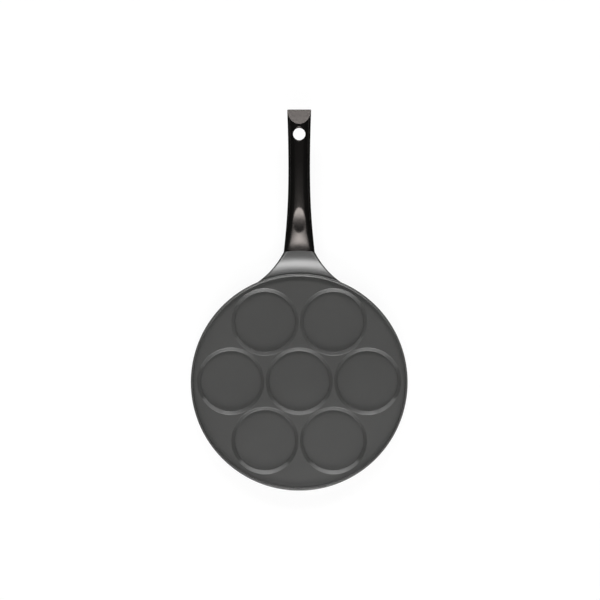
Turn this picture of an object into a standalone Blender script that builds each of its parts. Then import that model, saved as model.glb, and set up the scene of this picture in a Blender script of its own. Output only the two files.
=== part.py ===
"""Pancake pan: a cast body with seven wells, and a moulded handle screwed to the body's tang.

Metres, +Z up. The origin is the centre of the flat base, and the handle points along +Y.
"""

import math

import bmesh
import bpy
from mathutils import Matrix, Vector

# Body, turned about Z
RIM_RADIUS = 0.1300
FLOOR_THICKNESS = 0.0080
WELL_DEPTH = 0.0050
LIP_HEIGHT = 0.0050
LIP_THICKNESS = 0.0033
LIP_DRAFT = 0.0004
LIP_FILLET = 0.0015
BAND_HEIGHT = 0.0070
BAND_DRAFT = 0.0005
FLANK_WIDTH = 0.0215

# Wells: one in the middle and a ring round it
RING_WELLS = 6
WELL_LAND = 0.0024
RIM_LAND = 0.0024
WELL_FLARE = 0.0040
WELL_EDGE_ROUND = 0.0025
WELL_FLOOR_FILLET = 0.0020

# Bracket, cast with the body, from the rim to the handle
BRACKET_REACH = 0.0273
BRACKET_DROP = 0.0048
BRACKET_SLOPE = math.radians(10)
BRACKET_EDGE = 0.0025
BRACKET_CLEARANCE = 0.0022
BRACKET_ROOT = 0.0180
UNDERSIDE_EASE = 2.5
FLARE_RADIUS = 0.0980
FLARE_INSET = 0.0010
EDGE_EASE = 2.0
ROW_EASE = 1.5

# Joint between bracket and handle
JOINT_SLOPE = math.radians(25)
JOINT_WIDTH = 0.0373
JOINT_CORNER = 0.0080
JOINT_CROWN = 0.0060
JOINT_BELLY = 0.0120

# Handle
HANDLE_LENGTH = 0.1654
SHOULDER_SLOPE = math.radians(17)
TIP_SLOPE = math.radians(4)
SLOPE_FADE = 0.0100
WAIST_AT = 0.1000
WAIST_WIDTH = 0.0256
WAIST_CROWN = 0.0100
WAIST_BELLY = 0.0095
WAIST_EASE = 2.2
TIP_EASE = 1.8
FADE_EASE = 2.0
CROWN_FADE = 0.0600
CORNER_FADE = 0.0350
SHOULDER_SHARE = 0.98
TIP_WIDTH = 0.0283
TIP_CROWN = 0.0105
TIP_BELLY = 0.0085
TIP_ROUND = 0.0012
FACET_LENGTH = 0.0181
HOLE_DIAMETER = 0.0146
HOLE_FROM_TIP = 0.0297
HOLE_CHAMFER = 0.0012
DIMPLE_AT = 0.0366
DIMPLE_LENGTH = 0.0285
DIMPLE_DEPTH = 0.0011

# Tang in its socket
TANG_LENGTH = 0.0280
TANG_WIDTH = 0.0210
TANG_THICKNESS = 0.0065
TANG_DROP = 0.0070
TANG_SLOPE = math.radians(20)
TANG_ROOT = 0.0120
TANG_ROUND = 0.0015
SOCKET_END_CLEARANCE = 0.0010

# Screw and washers, from below into the tang
SCREW_AT = 0.0130
SCREW_DIAMETER = 0.0050
SCREW_LENGTH = 0.0100
SCREW_CHAMFER = 0.0005
HEAD_DIAMETER = 0.0090
HEAD_HEIGHT = 0.0024
HEAD_ROUND = 0.0008
RECESS_SPAN = 0.0046
RECESS_WIDTH = 0.0011
RECESS_DEPTH = 0.0013
SPRING_WASHER_DIAMETER = 0.0084
SPRING_WASHER_THICKNESS = 0.0010
SPRING_WASHER_SPLIT = 0.0009
SPLIT_SLANT = math.radians(20)
FLAT_WASHER_DIAMETER = 0.0100
FLAT_WASHER_THICKNESS = 0.0008
SEAT_THICKNESS = 0.0020
COUNTERBORE_CLEARANCE = 0.0004
HANDLE_HOLE_CLEARANCE = 0.0004

# Gap between faces that meet
FIT_GAP = 0.0003

# How far a cutter goes past the face that it cuts, and how steeply a well's cutter rises past its mouth
CUT_MARGIN = 0.0050
CUT_TILT = math.radians(10)

# Heights and radii that follow from the sizes above
PLATEAU_HEIGHT = FLOOR_THICKNESS + WELL_DEPTH
RIM_HEIGHT = PLATEAU_HEIGHT + LIP_HEIGHT
LIP_FOOT_RADIUS = RIM_RADIUS - LIP_THICKNESS - LIP_DRAFT - LIP_FILLET
WELL_RADIUS = (LIP_FOOT_RADIUS - RIM_LAND - WELL_LAND) / 3
WELL_PITCH = 2 * WELL_RADIUS + WELL_LAND
JOINT_RADIUS = RIM_RADIUS + BRACKET_REACH

# Facets: how finely round shapes are divided
BODY_STEPS = 96
FLANK_STEPS = 8
LIP_STEPS = 6
WELL_STEPS = 48
HOLE_STEPS = 32
SMALL_STEPS = 24
DIMPLE_STEPS = 180
CORNER_STEPS = 6
FLAT_STEPS = 8
FILLET_STEPS = 3
WELL_EDGE_STEPS = 2
BRACKET_ROWS = 9
HANDLE_ROWS = 36
SMOOTH_ANGLE = math.radians(35)


def clear_scene():
    for obj in list(bpy.data.objects):
        bpy.data.objects.remove(obj, do_unlink=True)


def material(name, colour, roughness, metallic):
    made = bpy.data.materials.new(name)
    made.use_nodes = True
    shader = made.node_tree.nodes["Principled BSDF"]
    shader.inputs["Base Color"].default_value = (*colour, 1)
    shader.inputs["Roughness"].default_value = roughness
    shader.inputs["Metallic"].default_value = metallic
    return made


def add_object(name, bm, finish=None, parent=None):
    """Turns a bmesh into an object of the scene, with smooth round surfaces."""
    bmesh.ops.recalc_face_normals(bm, faces=bm.faces)
    mesh = bpy.data.meshes.new(name)
    bm.to_mesh(mesh)
    bm.free()
    mesh.shade_smooth()
    mesh.set_sharp_from_angle(angle=SMOOTH_ANGLE)
    obj = bpy.data.objects.new(name, mesh)
    bpy.context.scene.collection.objects.link(obj)
    obj.parent = parent
    if finish:
        mesh.materials.append(finish)
    return obj


def combine(target, tool, operation):
    """Adds tool to target, or cuts it away, and hides the tool."""
    tool.hide_render = True
    tool.display_type = "WIRE"
    modifier = target.modifiers.new(f"{operation.lower()} {tool.name}", "BOOLEAN")
    modifier.object = tool
    modifier.operation = operation
    modifier.solver = "EXACT"


def arc(centre, radii, start, end, steps):
    """Points of an elliptical arc between two angles in degrees, both ends included."""
    angles = [math.radians(start + (end - start) * i / steps) for i in range(steps + 1)]
    return [(centre[0] + radii[0] * math.cos(a), centre[1] + radii[1] * math.sin(a)) for a in angles]


def rounded_corner(before, corner, after, radius, steps):
    """Points of the arc that rounds a corner between two straight lines."""
    point = Vector(corner)
    back = (Vector(before) - point).normalized()
    ahead = (Vector(after) - point).normalized()
    half = back.angle(ahead) / 2
    centre = point + (back + ahead).normalized() * radius / math.sin(half)
    start = point + back * radius / math.tan(half) - centre
    turn = start.angle_signed(point + ahead * radius / math.tan(half) - centre)
    points = []
    for i in range(steps + 1):
        spoke = start.copy()
        spoke.rotate(Matrix.Rotation(-turn * i / steps, 2))
        points.append(tuple(centre + spoke))
    return points


def turned(profile, steps):
    """A closed round body, from (radius, height) points that leave its two ends flat."""
    bm = bmesh.new()
    points = [bm.verts.new((radius, 0, height)) for radius, height in profile]
    edges = [bm.edges.new(pair) for pair in zip(points, points[1:])]
    bmesh.ops.spin(
        bm, geom=points + edges, cent=(0, 0, 0), axis=(0, 0, 1),
        angle=math.tau, steps=steps, use_merge=True,
    )
    rims = [edge for edge in bm.edges if edge.is_boundary]
    bmesh.ops.holes_fill(bm, edges=rims, sides=0)
    return bm


def cylinder(radius, low, high, steps=SMALL_STEPS):
    return turned([(radius, low), (radius, high)], steps)


def block(size, centre):
    bm = bmesh.new()
    bmesh.ops.create_cube(bm, size=1, matrix=Matrix.Translation(centre) @ Matrix.Diagonal((*size, 1)))
    return bm


def lofted(rows):
    """A closed body from rows of (upper, lower) points, whose first and last columns meet."""
    bm = bmesh.new()
    grid = []
    for row in rows:
        upper = [bm.verts.new(pair[0]) for pair in row]
        lower = [upper[0], *(bm.verts.new(pair[1]) for pair in row[1:-1]), upper[-1]]
        grid.append((upper, lower))
    for (upper, lower), (next_upper, next_lower) in zip(grid, grid[1:]):
        for j in range(len(upper) - 1):
            bm.faces.new((upper[j], upper[j + 1], next_upper[j + 1], next_upper[j]))
            bm.faces.new((lower[j], next_lower[j], next_lower[j + 1], lower[j + 1]))
    for upper, lower in (grid[0], grid[-1]):
        for j in range(len(upper) - 1):
            corners = [upper[j], upper[j + 1], lower[j + 1], lower[j]]
            bm.faces.new(list(dict.fromkeys(corners)))
    return bm


def section(half_width, corner, crown, belly):
    """Columns (across, height above, depth below) about the widest line, left to right.

    The top is flat between two rounded shoulders, and the underside is half an ellipse.
    """
    flat = half_width - corner
    shoulder = [(flat + x, z) for x, z in arc((0, 0), (corner, crown), 90, 0, CORNER_STEPS)]
    level = [(flat * (2 * i / FLAT_STEPS - 1), crown) for i in range(1, FLAT_STEPS)]
    top = [(-x, z) for x, z in reversed(shoulder)] + level + shoulder
    return [(x, z, -belly * math.sqrt(max(0.0, 1 - (x / half_width) ** 2))) for x, z in top]


def well_centres():
    ring = [math.tau * i / RING_WELLS for i in range(RING_WELLS)]
    return [(0.0, 0.0), *((WELL_PITCH * math.cos(a), WELL_PITCH * math.sin(a)) for a in ring)]


def body_profile():
    band_top = RIM_HEIGHT - BAND_HEIGHT
    flank_start = RIM_RADIUS - BAND_DRAFT - FLANK_WIDTH
    lip_round = LIP_THICKNESS / 2
    flank = arc((flank_start, band_top), (FLANK_WIDTH, band_top), -90, 0, FLANK_STEPS)
    lip_centre = (RIM_RADIUS - lip_round, RIM_HEIGHT - lip_round)
    lip = arc(lip_centre, (lip_round, lip_round), 0, 180, LIP_STEPS)
    foot_centre = (LIP_FOOT_RADIUS, PLATEAU_HEIGHT + LIP_FILLET)
    foot = arc(foot_centre, (LIP_FILLET, LIP_FILLET), 0, -90, FILLET_STEPS)
    return flank + lip + foot


def well_profile():
    """The hollow of a well, which goes on to above the plateau so that the cut is clean."""
    centre = (0, FLOOR_THICKNESS)
    floor_edge = (WELL_RADIUS - WELL_FLARE, FLOOR_THICKNESS)
    mouth = (WELL_RADIUS, PLATEAU_HEIGHT)
    above = (WELL_RADIUS + RIM_LAND, PLATEAU_HEIGHT + RIM_LAND * math.tan(CUT_TILT))
    fillet = rounded_corner(centre, floor_edge, mouth, WELL_FLOOR_FILLET, WELL_EDGE_STEPS)
    edge = rounded_corner(floor_edge, mouth, above, WELL_EDGE_ROUND, WELL_EDGE_STEPS)
    return [*fillet, *edge, above]


def bracket_top(radius):
    """Height of the bracket's upper surface: an arc from BRACKET_SLOPE up to JOINT_SLOPE."""
    bend = BRACKET_REACH / (math.sin(JOINT_SLOPE) - math.sin(BRACKET_SLOPE))
    slope = math.asin(math.sin(BRACKET_SLOPE) + (radius - RIM_RADIUS) / bend)
    return RIM_HEIGHT - BRACKET_DROP + bend * (math.cos(BRACKET_SLOPE) - math.cos(slope))


def bracket_bottom(share):
    """Height of the bracket's underside, share of the way from the rim to the joint."""
    joint_bottom = bracket_top(JOINT_RADIUS) - JOINT_CROWN - JOINT_BELLY
    return BRACKET_CLEARANCE + (joint_bottom - BRACKET_CLEARANCE) * share**UNDERSIDE_EASE


def bracket_half_angle(radius):
    """Half the angle that the bracket spans at this radius.

    Each side is an arc that leaves a circle just inside the rim at a tangent and ends at the joint.
    """
    inner = RIM_RADIUS - FLARE_INSET
    centre = inner + FLARE_RADIUS

    def swing(distance):
        cosine = (distance**2 + centre**2 - FLARE_RADIUS**2) / (2 * distance * centre)
        return math.acos(min(1.0, cosine))

    tangent = math.asin(JOINT_WIDTH / 2 / JOINT_RADIUS) + swing(JOINT_RADIUS)
    return tangent - swing(max(radius, inner))


def bracket_rows():
    """Cross-sections from inside the body to the joint, each one bent round the pan's axis."""
    inner = RIM_RADIUS - BRACKET_ROOT
    flare = RIM_RADIUS - FLARE_INSET
    shares = [(i / BRACKET_ROWS) ** ROW_EASE for i in range(BRACKET_ROWS + 1)]
    rows = []
    for radius in [inner, *(flare + (JOINT_RADIUS - flare) * share for share in shares)]:
        share = max(0.0, (radius - RIM_RADIUS) / BRACKET_REACH)
        half_angle = bracket_half_angle(radius)
        half_width = radius * math.sin(half_angle)
        crown = BRACKET_EDGE + (JOINT_CROWN - BRACKET_EDGE) * share**EDGE_EASE
        corner = BRACKET_EDGE + (JOINT_CORNER - BRACKET_EDGE) * share**EDGE_EASE
        widest = bracket_top(radius) - crown
        row = []
        for across, above, below in section(half_width, corner, crown, widest - bracket_bottom(share)):
            angle = half_angle * across / half_width
            x, y = radius * math.sin(angle), radius * math.cos(angle)
            row.append(((x, y, widest + above), (x, y, widest + below)))
        rows.append(row)
    return rows


def fading(out, run, ease=FADE_EASE):
    """Falls from 1 at the joint to 0 at run, and stays there."""
    return max(0.0, 1 - out / run) ** ease


def past_waist(out):
    """0 up to the handle's waist, then rises to 1 at the tip."""
    return max(0.0, (out - WAIST_AT) / (HANDLE_LENGTH - WAIST_AT)) ** TIP_EASE


def handle_top(out):
    """Height of the handle's top line, out from the joint. Its slope eases towards the tip."""
    tip, shoulder, joint = (math.tan(s) for s in (TIP_SLOPE, SHOULDER_SLOPE, JOINT_SLOPE))
    steady = tip * out + (shoulder - tip) * (out - out**2 / (2 * HANDLE_LENGTH))
    early = (joint - shoulder) * SLOPE_FADE * (1 - math.exp(-out / SLOPE_FADE))
    return bracket_top(JOINT_RADIUS) + steady + early


def handle_slope(out):
    """Angle of the handle's top line, out from the joint."""
    tip, shoulder, joint = (math.tan(s) for s in (TIP_SLOPE, SHOULDER_SLOPE, JOINT_SLOPE))
    steady = tip + (shoulder - tip) * (1 - out / HANDLE_LENGTH)
    return math.atan(steady + (joint - shoulder) * math.exp(-out / SLOPE_FADE))


def handle_width(out):
    near = (JOINT_WIDTH - WAIST_WIDTH) * fading(out, WAIST_AT, WAIST_EASE)
    return WAIST_WIDTH + near + (TIP_WIDTH - WAIST_WIDTH) * past_waist(out)


def handle_crown(out):
    """Height of the top line above the widest line."""
    near = (JOINT_CROWN - WAIST_CROWN) * fading(out, CROWN_FADE)
    return WAIST_CROWN + near + (TIP_CROWN - WAIST_CROWN) * past_waist(out)


def handle_belly(out):
    """Depth of the underside below the widest line."""
    near = (JOINT_BELLY - WAIST_BELLY) * fading(out, CROWN_FADE)
    return WAIST_BELLY + near + (TIP_BELLY - WAIST_BELLY) * past_waist(out)


def handle_row(out, inset=0.0, on_joint=False):
    """One cross-section. The first one lies on the round face of the joint."""
    half_width = handle_width(out) / 2 - inset
    shoulder = half_width * SHOULDER_SHARE
    corner = shoulder + (JOINT_CORNER - shoulder) * fading(out, CORNER_FADE)
    crown, belly = handle_crown(out) - inset, handle_belly(out) - inset
    widest = handle_top(out) - handle_crown(out)
    row = []
    for across, above, below in section(half_width, corner, crown, belly):
        y = JOINT_RADIUS + out
        if on_joint:
            y = math.sqrt((JOINT_RADIUS + FIT_GAP) ** 2 - across**2)
        row.append(((across, y, widest + above), (across, y, widest + below)))
    return row


def handle_rows():
    """Cross-sections from the joint to the tip, whose edge is rounded."""
    run = HANDLE_LENGTH - TIP_ROUND - FIT_GAP
    rows = [handle_row(FIT_GAP, on_joint=True)]
    rows += [handle_row(FIT_GAP + run * i / HANDLE_ROWS) for i in range(1, HANDLE_ROWS + 1)]
    edge_centre = (HANDLE_LENGTH - TIP_ROUND, TIP_ROUND)
    edge = arc(edge_centre, (TIP_ROUND, TIP_ROUND), -90, 0, FILLET_STEPS)[1:]
    return rows + [handle_row(out, inset=inset) for out, inset in edge]


def on_handle(obj, out, drop):
    """Places an object under the handle's top line, square to it."""
    slope = handle_slope(out)
    obj.location = (
        0,
        JOINT_RADIUS + out + drop * math.sin(slope),
        handle_top(out) - drop * math.cos(slope),
    )
    obj.rotation_euler = (slope, 0, 0)


def bar(width, thickness, start, end, round_over):
    """A straight bar along Y with its long edges rounded."""
    bm = block((width, end - start, thickness), (0, (start + end) / 2, 0))
    long_edges = [e for e in bm.edges if abs((e.verts[0].co - e.verts[1].co).y) > (end - start) / 2]
    bmesh.ops.bevel(
        bm, geom=long_edges, offset=round_over, segments=FILLET_STEPS, profile=0.5, affect="EDGES",
    )
    return bm


def make_tang_frame():
    """The tang's own axes: Y along it, Z through its thickness, origin at the joint."""
    frame = bpy.data.objects.new("tang_frame", None)
    frame.location = (0, JOINT_RADIUS, bracket_top(JOINT_RADIUS) - TANG_DROP)
    frame.rotation_euler = (TANG_SLOPE, 0, 0)
    bpy.context.scene.collection.objects.link(frame)
    return frame


def make_pan_body(frame, finish):
    body = add_object("pan_body", turned(body_profile(), BODY_STEPS), finish)
    combine(body, add_object("bracket", lofted(bracket_rows())), "UNION")
    tang = bar(TANG_WIDTH, TANG_THICKNESS, -TANG_ROOT, TANG_LENGTH, TANG_ROUND)
    combine(body, add_object("tang", tang, parent=frame), "UNION")
    for number, (x, y) in enumerate(well_centres()):
        hollow = add_object(f"well_hollow_{number}", turned(well_profile(), WELL_STEPS))
        hollow.location = (x, y, 0)
        combine(body, hollow, "DIFFERENCE")
    tapped = add_object(
        "tapped_hole",
        cylinder(SCREW_DIAMETER / 2 + FIT_GAP, -TANG_THICKNESS, TANG_THICKNESS),
        parent=frame,
    )
    tapped.location = (0, SCREW_AT, 0)
    combine(body, tapped, "DIFFERENCE")
    return body


def facet_cutter():
    """A block whose lower face is the slanting flat at the handle's end."""
    out = HANDLE_LENGTH - FACET_LENGTH
    fall = handle_top(out) - (handle_top(HANDLE_LENGTH) - handle_crown(HANDLE_LENGTH))
    reach = HANDLE_LENGTH / 2
    cutter = add_object("end_facet", block((reach, reach, reach), (0, 0, reach / 2)))
    cutter.location = (0, JOINT_RADIUS + out, handle_top(out))
    cutter.rotation_euler = (-math.atan2(fall, FACET_LENGTH), 0, 0)
    return cutter


def hanging_hole_cutter():
    """A bore through the handle, square to it, with its edges broken at both ends."""
    out = HANDLE_LENGTH - HOLE_FROM_TIP
    half = (handle_crown(out) + handle_belly(out)) * math.cos(handle_slope(out)) / 2
    bore = HOLE_DIAMETER / 2
    narrow = half - HOLE_CHAMFER
    mouth = (bore + HOLE_CHAMFER + CUT_MARGIN, half + CUT_MARGIN)
    profile = [mouth, (bore, narrow), (bore, -narrow), (mouth[0], -mouth[1])]
    cutter = add_object("hanging_hole", turned(profile, HOLE_STEPS))
    on_handle(cutter, out, half)
    return cutter


def dimple_cutter():
    """A cylinder across the handle that dips DIMPLE_DEPTH into its top line over DIMPLE_LENGTH."""
    start, middle, end = (
        Vector((JOINT_RADIUS + out, handle_top(out)))
        for out in (DIMPLE_AT - DIMPLE_LENGTH / 2, DIMPLE_AT, DIMPLE_AT + DIMPLE_LENGTH / 2)
    )
    chord = (end - start).length
    sagitta = DIMPLE_DEPTH - (middle - (start + end) / 2).length
    radius = (chord**2 / 4 + sagitta**2) / (2 * sagitta)
    tool = cylinder(radius, -JOINT_WIDTH / 2, JOINT_WIDTH / 2, DIMPLE_STEPS)
    bmesh.ops.rotate(tool, verts=tool.verts, matrix=Matrix.Rotation(math.radians(90), 3, "Y"))
    cutter = add_object("thumb_dimple", tool)
    on_handle(cutter, DIMPLE_AT, DIMPLE_DEPTH - radius)
    return cutter


def make_handle(frame, finish):
    handle = add_object("handle", lofted(handle_rows()), finish)
    for cutter in (facet_cutter(), hanging_hole_cutter(), dimple_cutter()):
        combine(handle, cutter, "DIFFERENCE")
    socket = bar(
        TANG_WIDTH + 2 * FIT_GAP, TANG_THICKNESS + 2 * FIT_GAP,
        -TANG_ROOT, TANG_LENGTH + SOCKET_END_CLEARANCE, TANG_ROUND + FIT_GAP,
    )
    combine(handle, add_object("socket", socket, parent=frame), "DIFFERENCE")
    seat = seat_level()
    bore = cylinder(SCREW_DIAMETER / 2 + HANDLE_HOLE_CLEARANCE, seat - TANG_THICKNESS, 0)
    counterbore = cylinder(
        FLAT_WASHER_DIAMETER / 2 + COUNTERBORE_CLEARANCE, seat - JOINT_BELLY - JOINT_CROWN, seat, HOLE_STEPS,
    )
    for name, tool in (("screw_hole", bore), ("counterbore", counterbore)):
        cutter = add_object(name, tool, parent=frame)
        cutter.location = (0, SCREW_AT, 0)
        combine(handle, cutter, "DIFFERENCE")
    return handle


def seat_level():
    """Height of the seat for the washers in the tang's axes, below the socket's wall."""
    return -TANG_THICKNESS / 2 - FIT_GAP - SEAT_THICKNESS


def washer(diameter, thickness, high):
    """A flat ring whose upper face is at high, with a running gap to the screw."""
    inner, outer = SCREW_DIAMETER / 2 + FIT_GAP, diameter / 2
    low = high - thickness
    bm = bmesh.new()
    corners = ((inner, low), (outer, low), (outer, high), (inner, high))
    rim = [bm.verts.new((radius, 0, height)) for radius, height in corners]
    edges = [bm.edges.new(pair) for pair in zip(rim, rim[1:] + rim[:1])]
    bmesh.ops.spin(
        bm, geom=rim + edges, cent=(0, 0, 0), axis=(0, 0, 1),
        angle=math.tau, steps=SMALL_STEPS, use_merge=True,
    )
    return bm


def make_fasteners(frame, finish):
    flat_top = seat_level() - FIT_GAP
    spring_top = flat_top - FLAT_WASHER_THICKNESS - FIT_GAP
    head_top = spring_top - SPRING_WASHER_THICKNESS - FIT_GAP
    head_low = head_top - HEAD_HEIGHT

    flat_ring = washer(FLAT_WASHER_DIAMETER, FLAT_WASHER_THICKNESS, flat_top)
    flat = add_object("flat_washer", flat_ring, finish, frame)
    spring_ring = washer(SPRING_WASHER_DIAMETER, SPRING_WASHER_THICKNESS, spring_top)
    spring = add_object("spring_washer", spring_ring, finish, frame)
    blade = block((SPRING_WASHER_SPLIT, SPRING_WASHER_DIAMETER, SPRING_WASHER_DIAMETER), (0, 0, 0))
    split = add_object("washer_split", blade, parent=frame)
    split.location = (0, SCREW_AT + SPRING_WASHER_DIAMETER / 2, spring_top - SPRING_WASHER_THICKNESS / 2)
    split.rotation_euler = (0, SPLIT_SLANT, 0)
    combine(spring, split, "DIFFERENCE")

    shank, head = SCREW_DIAMETER / 2, HEAD_DIAMETER / 2
    round_centre = (head - HEAD_ROUND, head_low + HEAD_ROUND)
    crown = arc(round_centre, (HEAD_ROUND, HEAD_ROUND), -90, 0, FILLET_STEPS)
    tip = head_top + SCREW_LENGTH
    end = [(shank, tip - SCREW_CHAMFER), (shank - SCREW_CHAMFER, tip)]
    profile = [*crown, (head, head_top), (shank, head_top), *end]
    screw = add_object("handle_screw", turned(profile, SMALL_STEPS), finish, frame)
    for number, size in enumerate(((RECESS_SPAN, RECESS_WIDTH), (RECESS_WIDTH, RECESS_SPAN))):
        slot = add_object(f"recess_{number}", block((*size, 2 * RECESS_DEPTH), (0, 0, 0)), parent=frame)
        slot.location = (0, SCREW_AT, head_low)
        combine(screw, slot, "DIFFERENCE")

    for piece in (flat, spring, screw):
        piece.location = (0, SCREW_AT, 0)


def main():
    clear_scene()
    coating = material("nonstick_coating", (0.075, 0.075, 0.073), 0.38, 0.0)
    phenolic = material("black_phenolic", (0.012, 0.012, 0.011), 0.35, 0.0)
    steel = material("stainless_steel", (0.55, 0.55, 0.54), 0.3, 1.0)
    frame = make_tang_frame()
    make_pan_body(frame, coating)
    make_handle(frame, phenolic)
    make_fasteners(frame, steel)


main()
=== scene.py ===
"""Pancake pan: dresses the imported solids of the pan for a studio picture.

The cast body with its wells, rim and bracket, the moulded handle and the screw are modelled again here, more
finely than the solids that they stand for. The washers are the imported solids, in a better finish.

Metres, +Z up. The origin is the centre of the flat base, and the handle points along +Y.
"""

import logging
import math
from collections.abc import Callable, Iterable, Sequence
from dataclasses import dataclass, field
from enum import Enum

import bmesh
import bpy
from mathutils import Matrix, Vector


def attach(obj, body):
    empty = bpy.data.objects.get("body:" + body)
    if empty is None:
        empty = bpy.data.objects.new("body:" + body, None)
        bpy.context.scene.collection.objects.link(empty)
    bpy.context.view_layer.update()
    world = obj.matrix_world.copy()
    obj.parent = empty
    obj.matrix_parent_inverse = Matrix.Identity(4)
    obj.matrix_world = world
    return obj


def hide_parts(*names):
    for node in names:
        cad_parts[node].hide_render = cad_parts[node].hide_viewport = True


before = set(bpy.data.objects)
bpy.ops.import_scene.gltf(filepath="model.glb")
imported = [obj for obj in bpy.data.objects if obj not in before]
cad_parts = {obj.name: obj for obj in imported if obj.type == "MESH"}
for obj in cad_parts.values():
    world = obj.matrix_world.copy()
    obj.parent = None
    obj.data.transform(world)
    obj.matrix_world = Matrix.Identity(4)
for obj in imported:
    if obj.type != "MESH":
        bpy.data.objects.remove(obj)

LOG = logging.getLogger("pancake pan")
BODY = "root"

# Distances below which two places, and two flat ends, count as the same
HAIR = 1e-6
SAME_END = 1e-5

# Radians that the wave texture's rings turn through in a metre, at a scale of 1
WAVE_RATE = 20

Piece = bpy.types.Object
Socket = bpy.types.NodeSocket
Material = bpy.types.Material
Point = tuple[float, float]
Place = tuple[float, float, float]
Colour = tuple[float, float, float]
Outline = list[Point]


class Slot(Enum):
    """The record's material slots."""

    COATING = "nonstick_coating"
    PHENOLIC = "black_phenolic"
    STEEL = "stainless_steel"


class Cut(Enum):
    """What a second form does to the first."""

    ADD = "UNION"
    REMOVE = "DIFFERENCE"


# Modelling by hand


def clear_selection() -> None:
    """Leaves edit mode and deselects every object."""
    if bpy.context.mode != "OBJECT":
        bpy.ops.object.mode_set(mode="OBJECT")
    bpy.ops.object.select_all(action="DESELECT")


def take_up(piece: Piece) -> None:
    """Makes a piece the only one selected, and the active one.

    Args:
        piece: The object to work on.
    """
    clear_selection()
    piece.select_set(True)
    bpy.context.view_layer.objects.active = piece


def edit(piece: Piece) -> None:
    """Goes into edit mode on a piece, with all of its mesh selected.

    Args:
        piece: The object to work on.
    """
    take_up(piece)
    bpy.ops.object.mode_set(mode="EDIT")
    bpy.ops.mesh.select_all(action="SELECT")


def turn_outwards() -> None:
    """Turns every face of the form in edit mode outwards, and leaves edit mode."""
    bpy.ops.mesh.select_all(action="SELECT")
    bpy.ops.mesh.normals_make_consistent(inside=False)
    bpy.ops.object.mode_set(mode="OBJECT")


def deselect_mesh(mesh: bmesh.types.BMesh) -> None:
    """Deselects every face, edge and point of a mesh in edit mode.

    Args:
        mesh: The mesh.
    """
    for parts in (mesh.faces, mesh.edges, mesh.verts):
        for part in parts:
            part.select_set(False)


def settle(name: str) -> Piece:
    """Names the primitive that was just added and moves its place into its mesh.

    Args:
        name: The new object's name.

    Returns:
        The object, at the origin, unturned and unscaled.
    """
    piece = bpy.context.active_object
    piece.name = name
    piece.data.name = name
    take_up(piece)
    bpy.ops.object.transform_apply(location=True, rotation=True, scale=True)
    return piece


def select_faces(piece: Piece, test: Callable[[bmesh.types.BMFace], bool]) -> None:
    """Selects, in edit mode, the faces that pass a test.

    Args:
        piece: The object in edit mode.
        test: Says whether a face is wanted.
    """
    mesh = bmesh.from_edit_mesh(piece.data)
    wanted = [face for face in mesh.faces if test(face)]
    deselect_mesh(mesh)
    for face in wanted:
        face.select_set(True)
    bmesh.update_edit_mesh(piece.data)


def arc(centre: Point, radii: Point, start: float, end: float, steps: int) -> Outline:
    """Points of an elliptical arc.

    Args:
        centre: The arc's centre.
        radii: Its two half-axes.
        start: The first point's angle in degrees.
        end: The last point's angle in degrees.
        steps: How many chords the arc is divided into.

    Returns:
        The points, with both ends.
    """
    angles = [math.radians(start + (end - start) * i / steps) for i in range(steps + 1)]
    return [(centre[0] + radii[0] * math.cos(a), centre[1] + radii[1] * math.sin(a)) for a in angles]


def round_off(before: Point, corner: Point, after: Point, radius: float, steps: int) -> Outline:
    """Points of the arc that rounds the corner between two straight lines.

    Args:
        before: A point on the first line.
        corner: Where the lines meet.
        after: A point on the second line.
        radius: The arc's radius.
        steps: How many chords the arc is divided into.

    Returns:
        The arc's points, in order.
    """
    point = Vector(corner)
    back = (Vector(before) - point).normalized()
    ahead = (Vector(after) - point).normalized()
    half = back.angle(ahead) / 2
    reach = radius / math.tan(half)
    centre = point + (back + ahead).normalized() * radius / math.sin(half)
    first, last = point + back * reach - centre, point + ahead * reach - centre
    start = math.atan2(first.y, first.x)
    turn = -first.angle_signed(last)
    angles = [start + turn * i / steps for i in range(steps + 1)]
    return [(centre.x + radius * math.cos(a), centre.y + radius * math.sin(a)) for a in angles]


def turn_on_lathe(name: str, outline: Outline, steps: int) -> Piece:
    """Turns a closed round form about Z: a disc is drawn up and scaled from point to point of an outline.

    Args:
        name: The object's name.
        outline: (radius, height) points, from one flat end to the other.
        steps: How many sides the round form has.

    Returns:
        The closed form.
    """
    clear_selection()
    radius, height = outline[0]
    bpy.ops.mesh.primitive_circle_add(
        vertices=steps, radius=radius, fill_type="NGON", location=(0, 0, height),
    )
    form = settle(name)
    edit(form)
    for next_radius, next_height in outline[1:]:
        rise = next_height - height
        bpy.ops.mesh.extrude_region_move(TRANSFORM_OT_translate={"value": (0, 0, rise)})
        ratio = next_radius / radius
        bpy.ops.transform.resize(value=(ratio, ratio, 1), center_override=(0, 0, next_height))
        radius, height = next_radius, next_height
    turn_outwards()
    return form


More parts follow.
